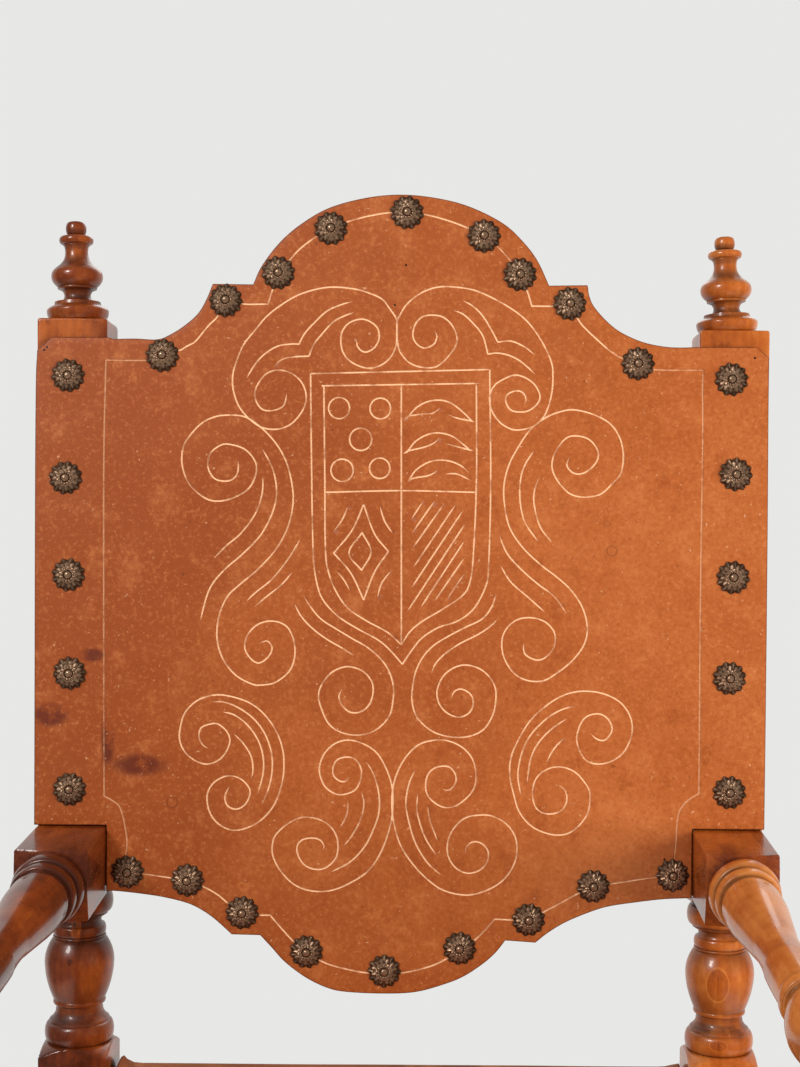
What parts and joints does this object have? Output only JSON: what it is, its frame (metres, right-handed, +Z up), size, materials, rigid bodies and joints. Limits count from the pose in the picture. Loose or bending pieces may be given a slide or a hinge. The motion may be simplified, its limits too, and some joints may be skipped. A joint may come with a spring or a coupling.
{
  "type": "leather armchair",
  "caption": "High-backed friar's armchair with turned wooden posts, legs and arms, a scalloped tooled-leather back and a slung leather seat fixed by rosette nails.",
  "frame": {"origin": "on the floor, under the middle of the chair's box", "axes": "+Z up; the front of the chair faces -Y; +X is on the right of someone who looks at the front"},
  "size_m": [0.5852, 0.5868, 1.1699],
  "materials": {
    "varnished_wood": "glossy varnish over turned hardwood",
    "peg_wood": "varnished end grain",
    "tooled_leather": "worn vegetable-tanned hide with tooled lines",
    "lining_leather": "plain undyed flesh side",
    "nail_brass": "darkened stamped brass"
  },
  "bodies": {
    "root": {"rear_post_left": "varnished_wood", "rear_post_right": "varnished_wood", "finial_left": "varnished_wood", "finial_right": "varnished_wood", "front_leg_left": "varnished_wood", "front_leg_right": "varnished_wood", "arm_left": "varnished_wood", "arm_right": "varnished_wood", "seat_rail_front": "varnished_wood", "seat_rail_back": "varnished_wood", "seat_rail_left": "varnished_wood", "seat_rail_right": "varnished_wood", "stretcher_front": "varnished_wood", "stretcher_back": "varnished_wood", "stretcher_left": "varnished_wood", "stretcher_right": "varnished_wood", "back_rail_top": "varnished_wood", "back_rail_bottom": "varnished_wood", "joint_pegs": "peg_wood", "back_leather": "tooled_leather", "back_lining": "lining_leather", "seat_leather": "tooled_leather", "seat_lining": "lining_leather", "back_nails": "nail_brass", "seat_nails": "nail_brass"}
  },
  "joints": []
}
